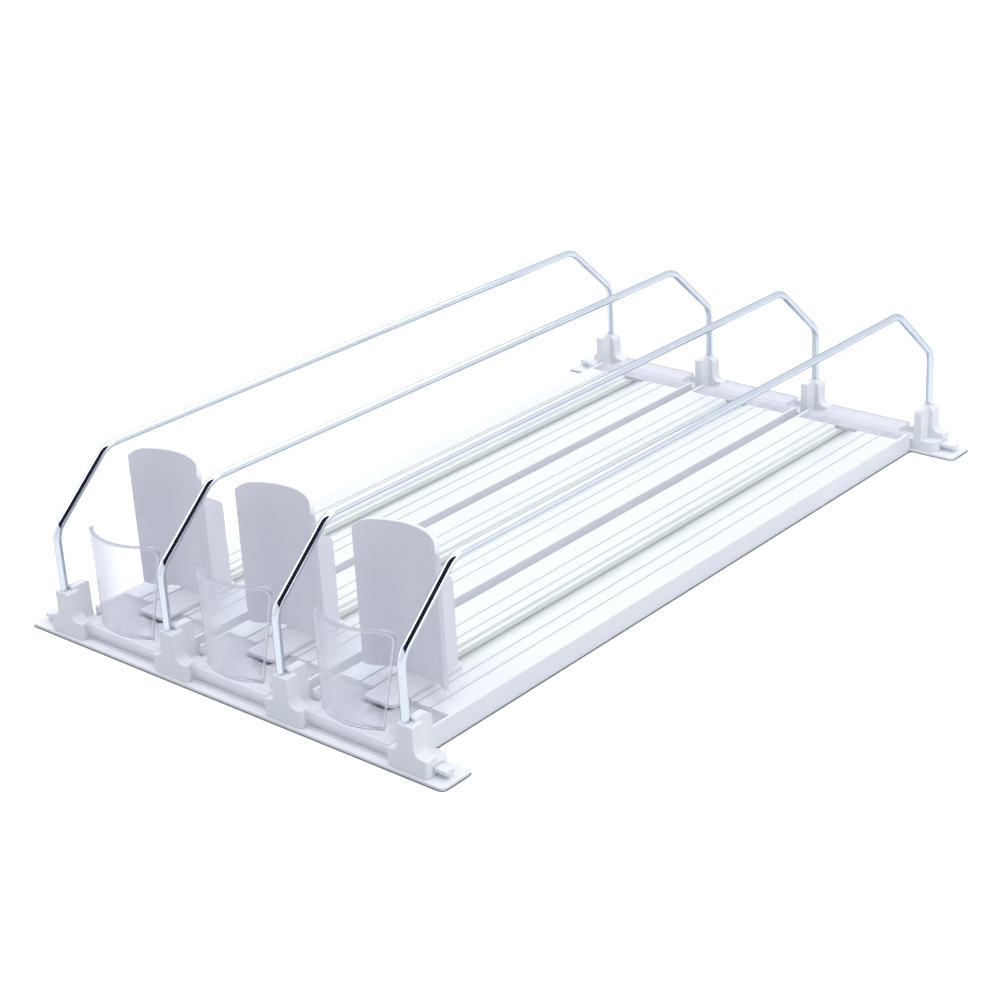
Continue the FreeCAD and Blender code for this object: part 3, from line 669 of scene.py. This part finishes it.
chrome = metal_finish("chrome_wire", (0.60, 0.64, 0.70), (0.63, 0.67, 0.73),
                      roughness=0.09, stretch=(1, 1, 1), scale=90, bump=0.002)
chrome.node_tree.nodes["Principled BSDF"].inputs["Specular Tint"].default_value = (0.45, 0.50, 0.58, 1)
spring_steel = metal_finish("spring_steel", (0.50, 0.51, 0.53), (0.64, 0.65, 0.67),
                            roughness=0.28, stretch=(1, 0.02, 0.02), scale=2600, bump=0.25)

# %% [markdown]
# A moulding never has a truly sharp edge, and it is the thin highlight along each edge that makes
# plastic look moulded. A Bevel node in the material could fake it, but the mesh itself would stay
# sharp. So each white or clear node gets a copy that is merged, cleared of needless edges and
# rounded by a fine Bevel modifier; the copy then stands for the node. The mouth of the socket that
# grips a wire keeps its edge: a rounded one would open a gap round the wire.

# %% Round the moulded pieces
SHARP = math.radians(28)
FLAT = math.radians(0.6)
TOUCHING = 0.001 * MM
WIRE_RADIUS = 2 * MM
SOCKET = 2.3 * MM


def softened(node, material, radius, wire=None):
    """A copy of a node with its doubles merged, its flat facets joined and its edges rounded, but
    for the mouth of the socket that grips a wire: each corner there is within reach of its line."""
    mesh = nodes[node].data.copy()
    mesh.name = node + "_moulded"
    work = bmesh.new()
    work.from_mesh(mesh)
    bmesh.ops.remove_doubles(work, verts=work.verts, dist=TOUCHING)
    bmesh.ops.dissolve_limit(work, angle_limit=FLAT, verts=work.verts, edges=work.edges)
    weight = work.edges.layers.float.new("bevel_weight_edge")
    for edge in work.edges:
        in_socket = wire is not None and all((corner.co.xy - wire).length < SOCKET for corner in edge.verts)
        if edge.calc_face_angle(0.0) > SHARP and not in_socket:
            edge[weight] = 1.0
    work.to_mesh(mesh)
    work.free()
    mesh.polygons.foreach_set("use_smooth", np.ones(len(mesh.polygons), bool))
    mesh.set_sharp_from_angle(angle=SHARP)
    mesh.materials.clear()
    mesh.materials.append(material)
    piece = bpy.data.objects.new(node + "_moulded", mesh)
    bpy.context.scene.collection.objects.link(piece)
    rounding = piece.modifiers.new("rounded_edges", "BEVEL")
    rounding.width = radius
    rounding.segments = 2
    rounding.limit_method = "WEIGHT"
    rounding.harden_normals = True
    rounding.use_clamp_overlap = True
    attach(piece, nodes[node]["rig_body"])
    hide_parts(node)
    return len(mesh.polygons)


rounded = []
for name in ("front_rail", "rear_rail"):
    rounded.append(softened(name, white_plastic, 0.3 * MM))
for n in LANES:
    rounded.append(softened("track_%d" % n, track_plastic, 0.25 * MM))
    rounded.append(softened("pusher_%d" % n, shaded_pusher_plastic, 0.35 * MM))
    rounded.append(softened("front_stop_%d" % n, clear_stop, 0.3 * MM))
    rounded.append(softened("rear_cap_%d" % n, clear_cap, 0.3 * MM))
for n in DIVIDERS:
    low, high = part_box("divider_wire_%d" % n)
    across = (low.x + high.x) / 2
    front_leg = Vector((across, low.y + WIRE_RADIUS))
    rear_leg = Vector((across, high.y - WIRE_RADIUS))
    rounded.append(softened("front_clip_%d" % n, white_plastic, 0.35 * MM, front_leg))
    rounded.append(softened("rear_clip_%d" % n, white_plastic, 0.35 * MM, rear_leg))
print("rounded", len(rounded), "pieces of", sum(rounded), "faces before their bevels")

# %% [markdown]
# Each divider is one wire bent in a flat plane: two legs, two slanting stretches and a level run. A
# curve object with a round bevel could make it. Here its middle line is worked out as straight runs
# joined by arcs, and a circle is carried along it, so each bend has the radius that a bender would
# give it. Where a leg enters its clips the circle is a hair larger, because the socket's clearance
# would show in the bright wire as a black crescent.

# %% Trace a bent line
ARC_STEPS = 14


def bent_line(corners, radii):
    """Points along straight runs joined by arcs. At each inner corner the arc starts a cut of
    radius x tan(half the turn) before the corner, and is traced as the centre plus the radius
    times the rotating normal, in the plane of the two runs."""
    corners = np.asarray(corners, float)
    points = [corners[:1]]
    for index, radius in enumerate(radii, start=1):
        ahead = corners[index + 1] - corners[index]
        behind = corners[index] - corners[index - 1]
        ahead /= np.linalg.norm(ahead)
        behind /= np.linalg.norm(behind)
        turned = math.acos(float(np.clip(ahead @ behind, -1, 1)))
        inward = ahead - behind * (ahead @ behind)
        inward /= np.linalg.norm(inward)
        first = corners[index] - behind * radius * math.tan(turned / 2)
        angles = np.linspace(0, turned, ARC_STEPS)[:, None]
        points.append(first + radius * (np.sin(angles) * behind + (1 - np.cos(angles)) * inward))
    points.append(corners[-1:])
    return np.concatenate(points)


# %% Carry a circle along a line
RING_STEPS = 36


def tube(line, side, radius):
    """A circle carried along a flat line: each ring is the point plus its own radius times the
    cosine along the plane's normal and the sine along the line's own normal."""
    forward = np.gradient(line, axis=0)
    forward /= np.linalg.norm(forward, axis=1)[:, None]
    lateral = np.cross(forward, side)
    angles = np.linspace(0, 2 * math.pi, RING_STEPS, endpoint=False)
    ring = np.cos(angles)[None, :, None] * np.asarray(side, float)
    ring = ring + np.sin(angles)[None, :, None] * lateral[:, None, :]
    return (line[:, None, :] + radius[:, None, None] * ring).reshape(-1, 3)


def tube_faces(rows, steps):
    """Quads between neighbouring rings, and one face at each end. A point's number is its row times
    the steps of a ring, plus its step."""
    base = np.arange(rows - 1)[:, None] * steps + np.arange(steps)
    after = np.arange(rows - 1)[:, None] * steps + (np.arange(steps) + 1) % steps
    quads = np.stack([base, after, after + steps, base + steps], -1).reshape(-1, 4)
    ends = [list(reversed(range(steps))), [(rows - 1) * steps + step for step in range(steps)]]
    return quads.tolist() + ends


# %% Bend the divider wires
WIRE_SHOULDER = 54.5 * MM
WIRE_LEAN = 36 * MM
SHOULDER_BEND = 12 * MM
TOP_BEND = 14 * MM
FIN_RISE = 1.4 * MM
COLLAR_HEIGHTS = np.array((-0.6, -0.3, 0, 0.3)) * MM
COLLAR_SWELL = np.array((0, 0.055, 0.055, 0)) * MM


def wire_line(across, reach, foot, top, mouth):
    """The middle line of a wire from its rear end to its front end, with the points of a collar at
    each socket's mouth, and how much the radius swells at each point."""
    half = [(across, reach, foot), (across, reach, WIRE_SHOULDER), (across, reach - WIRE_LEAN, top)]
    other = [(x, -y, z) for x, y, z in reversed(half)]
    line = bent_line(half + other, [SHOULDER_BEND, TOP_BEND, TOP_BEND, SHOULDER_BEND])
    rear = [(across, reach, mouth + rise) for rise in COLLAR_HEIGHTS]
    front = [(across, -reach, mouth + rise) for rise in reversed(COLLAR_HEIGHTS)]
    swell = np.zeros(len(line) - 2)
    line = np.concatenate([line[:1], rear, line[1:-1], front, line[-1:]])
    return line, np.concatenate([[0], COLLAR_SWELL, swell, COLLAR_SWELL[::-1], [0]])


for n in DIVIDERS:
    name = "divider_wire_%d" % n
    low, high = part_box(name)
    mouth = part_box("front_clip_%d" % n)[1].z - FIN_RISE
    line, swell = wire_line((low.x + high.x) / 2, high.y - WIRE_RADIUS, low.z, high.z - WIRE_RADIUS, mouth)
    faces = tube_faces(len(line), RING_STEPS)
    flat_ends = [True] * (len(faces) - 2) + [False, False]
    rings = tube(line, (1, 0, 0), WIRE_RADIUS + swell)
    wire = new_piece(name + "_bright", rings, faces, chrome, flat_ends)
    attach(wire, nodes[name]["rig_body"])
    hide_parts(name)
print("wires bent, each of", len(line), "rings")

# %% [markdown]
# The spring of a pusher is one flat steel strip. Most of it is wound on the drum in the pusher's
# housing, whose back is open low down. A plain ring could stand for the roll, as it does in the
# node. Here the strip is carried along a spiral from the drum outwards, so its turns are real.

# %% Wind the springs
STRIP_THICKNESS = 0.2 * MM
TURN_SPACING = 1.35 * STRIP_THICKNESS
TURN_STEPS = 40


def ribbon(line, normal, side, width, thickness):
    """A flat strip carried along a line: four corners at each point, half the thickness along
    the normal and half the width along the side."""
    half_side = np.asarray(side, float) * width / 2
    outward = normal * thickness / 2
    rows = [line + outward + half_side, line + outward - half_side,
            line - outward - half_side, line - outward + half_side]
    return np.stack(rows, 1).reshape(-1, 3)


def spiral(middle, inner, outer):
    """A spiral round X, and its outward direction at each point: the radius grows evenly with the
    angle, from the inner to the outer, and the point is the middle plus the radius times the
    cosine along Y and the sine along Z."""
    turns = (outer - inner) / TURN_SPACING
    angle = np.linspace(0, 2 * math.pi * turns, int(turns * TURN_STEPS))
    radius = inner + (outer - inner) * angle / angle[-1]
    spoke = np.stack([np.zeros_like(angle), np.cos(angle), np.sin(angle)], -1)
    return np.array(middle) + radius[:, None] * spoke, spoke


for n in LANES:
    name = "spring_coil_%d" % n
    hub = "spring_hub_%d" % n
    low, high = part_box(name)
    middle = (low + high) / 2
    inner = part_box(hub)[1].z - middle.z + STRIP_THICKNESS
    line, spoke = spiral(middle, inner, (high.z - low.z) / 2 - STRIP_THICKNESS / 2)
    rows = ribbon(line, spoke, (1, 0, 0), high.x - low.x, STRIP_THICKNESS)
    coil = new_piece(name + "_wound", rows, tube_faces(len(line), 4), spring_steel, smooth=False)
    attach(coil, nodes[name]["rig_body"])
    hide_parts(name)
    nodes[hub].data.materials.clear()
    nodes[hub].data.materials.append(nylon)
print("springs wound, each of", len(line), "points")

# %% [markdown]
# The rest of the spring lies flat in the track's channel, held at the front. As the pusher goes back
# it is drawn longer. A strip that rode on one body would leave the other behind, so this one rides on
# none: it is a flat ribbon of many rows, laid along the channel at its length at rest.

# %% Draw out the strips
STRIP_ROWS = 60

for n in LANES:
    name = "spring_strip_%d" % n
    low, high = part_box(name)
    middle = (low + high) / 2
    along = np.linspace(low.y, high.y, STRIP_ROWS)
    line = np.stack([np.full(STRIP_ROWS, middle.x), along, np.full(STRIP_ROWS, middle.z)], -1)
    upward = np.tile((0.0, 0.0, 1.0), (STRIP_ROWS, 1))
    rows = ribbon(line, upward, (-1, 0, 0), high.x - low.x, high.z - low.z)
    strip = new_piece(name + "_drawn", rows, tube_faces(STRIP_ROWS, 4), spring_steel, smooth=False)
    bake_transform(strip)
    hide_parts(name)
    print("strip", name, round((high.y - low.y) / MM, 1), "mm long at rest")
